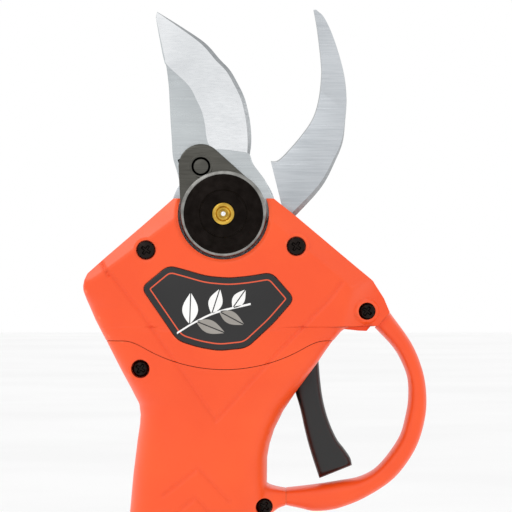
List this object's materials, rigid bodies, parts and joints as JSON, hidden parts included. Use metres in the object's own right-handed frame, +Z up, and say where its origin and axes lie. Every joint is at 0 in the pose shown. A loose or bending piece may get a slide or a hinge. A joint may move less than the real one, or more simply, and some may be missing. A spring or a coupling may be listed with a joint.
{
  "type": "battery electric pruner",
  "caption": "Cordless motor-driven pruner with a hook blade, a geared moving blade, a trigger inside a finger guard and a plug-on battery in the handle's foot.",
  "frame": {"origin": "middle of the battery's flat base, on which the tool stands", "axes": "+Z up towards the blade tips, -Y the front with the nameplate and pivot cap, +X the side of the finger guard"},
  "size_m": [0.11, 0.048, 0.2859],
  "materials": {
    "orange_plastic": "moulded ABS, fine satin texture",
    "black_plastic": "moulded glass-filled nylon, satin",
    "black_metal": "black-oxided steel, satin",
    "screw_black": "black-oxided screw steel",
    "nameplate": "printed plate, semi-gloss",
    "blade_steel": "ground and polished tool steel",
    "hook_steel": "brushed tool steel",
    "machined_steel": "turned steel",
    "dark_steel": "hardened dark steel",
    "brass": "turned brass",
    "alloy": "die-cast alloy",
    "copper": "enamelled copper wire",
    "circuit_board": "glass-epoxy board",
    "component_black": "moulded epoxy",
    "cell_wrap": "shrink-wrapped cell",
    "holder_plastic": "moulded holder",
    "red_plastic": "moulded button",
    "clear_plastic": "light pipe",
    "wire_red": "silicone wire cover"
  },
  "bodies": {
    "battery": {"battery_case": "black_plastic", "battery_base": "black_plastic", "battery_cells": "cell_wrap", "cell_holder": "holder_plastic", "battery_board": "circuit_board", "battery_terminals": "brass", "battery_screws": "machined_steel", "latch_spring": "machined_steel"},
    "latch": {"battery_latch": "black_plastic"},
    "tool": {"handle_front_shell": "orange_plastic", "handle_rear_shell": "orange_plastic", "front_head_cover": "orange_plastic", "rear_head_cover": "orange_plastic", "guard_bow": "orange_plastic", "nameplate": "nameplate", "fixed_blade": "hook_steel", "fixed_blade_screws": "dark_steel", "blade_bush": "brass", "head_frame": "alloy", "gear_case_cover": "alloy", "shaft_bushes": "brass", "pinion_bearing": "machined_steel", "gearbox_housing": "dark_steel", "motor_front_plate": "alloy", "motor_can": "dark_steel", "stator": "dark_steel", "windings": "copper", "motor_bearings": "machined_steel", "control_board": "circuit_board", "power_transistors": "component_black", "capacitors": "cell_wrap", "hall_sensor": "circuit_board", "power_switch": "black_plastic", "contact_block": "black_plastic", "handle_terminals": "brass", "trigger_pin": "machined_steel", "head_screws": "screw_black", "handle_screws": "screw_black", "guard_screws": "screw_black", "status_light": "clear_plastic", "phase_wires": "wire_red", "trigger_spring": "machined_steel"},
    "blade": {"moving_blade": "blade_steel", "blade_carrier": "dark_steel", "drive_pin": "dark_steel", "pivot_shaft": "dark_steel", "pivot_cap": "black_metal", "rim_washer": "machined_steel", "grease_nipple": "brass", "nipple_ball": "machined_steel", "crown_gear": "machined_steel"},
    "pinion": {"bevel_pinion": "machined_steel", "planet_carrier": "dark_steel"},
    "planet_1": {"planet_gear_1": "machined_steel"},
    "planet_2": {"planet_gear_2": "machined_steel"},
    "planet_3": {"planet_gear_3": "machined_steel"},
    "rotor": {"rotor": "dark_steel", "sun_gear": "brass"},
    "trigger": {"trigger": "black_plastic"},
    "power_button": {"power_button": "red_plastic"}
  },
  "joints": [
    {"name": "tool_lift", "type": "slide", "parent": "battery", "child": "tool", "axis": [0.0915, 0, 0.9958], "range_m": [0, 0.03]},
    {"name": "latch_press", "type": "slide", "parent": "battery", "child": "latch", "axis": [0, 1, 0], "range_m": [0, 0.002], "stiffness_N_per_m": 800, "springref_m": -0.0005, "deforming": ["latch_spring"]},
    {"name": "blade_close", "type": "hinge", "parent": "tool", "child": "blade", "pos_m": [0.014, 0, 0.221], "axis": [0, 1, 0], "range_deg": [0, 46]},
    {"name": "pinion_turn", "type": "hinge", "parent": "tool", "child": "pinion", "pos_m": [0.01125, 0.002, 0.19113], "axis": [0.0915, 0, 0.9958], "range_deg": [0, 172.5]},
    {"name": "rotor_turn", "type": "hinge", "parent": "tool", "child": "rotor", "pos_m": [0.00851, 0.002, 0.16125], "axis": [0.0915, 0, 0.9958], "range_deg": [0, 690]},
    {"name": "trigger_squeeze", "type": "hinge", "parent": "tool", "child": "trigger", "pos_m": [0.0375, 0, 0.1865], "axis": [0, 1, 0], "range_deg": [0, 9], "stiffness_Nm_per_rad": 0.6, "springref_deg": -8.59, "deforming": ["trigger_spring"]},
    {"name": "power_press", "type": "slide", "parent": "tool", "child": "power_button", "axis": [0, 1, 0], "range_m": [0, 0.0012], "stiffness_N_per_m": 600, "springref_m": -0.0005},
    {"name": "planet_turn_1", "type": "hinge", "parent": "pinion", "child": "planet_1", "pos_m": [0.01691, 0.002, 0.18056], "axis": [0.0915, 0, 0.9958], "range_deg": [-517.5, 0]},
    {"name": "planet_turn_2", "type": "hinge", "parent": "pinion", "child": "planet_2", "pos_m": [0.00705, 0.00772, 0.18147], "axis": [0.0915, 0, 0.9958], "range_deg": [-517.5, 0]},
    {"name": "planet_turn_3", "type": "hinge", "parent": "pinion", "child": "planet_3", "pos_m": [0.00705, -0.00372, 0.18147], "axis": [0.0915, 0, 0.9958], "range_deg": [-517.5, 0]}
  ],
  "couplings": [
    {"joint": "pinion_turn", "follows": "blade_close", "ratio": 3.75},
    {"joint": "rotor_turn", "follows": "blade_close", "ratio": 15},
    {"joint": "planet_turn_1", "follows": "blade_close", "ratio": -11.25},
    {"joint": "planet_turn_2", "follows": "blade_close", "ratio": -11.25},
    {"joint": "planet_turn_3", "follows": "blade_close", "ratio": -11.25}
  ]
}
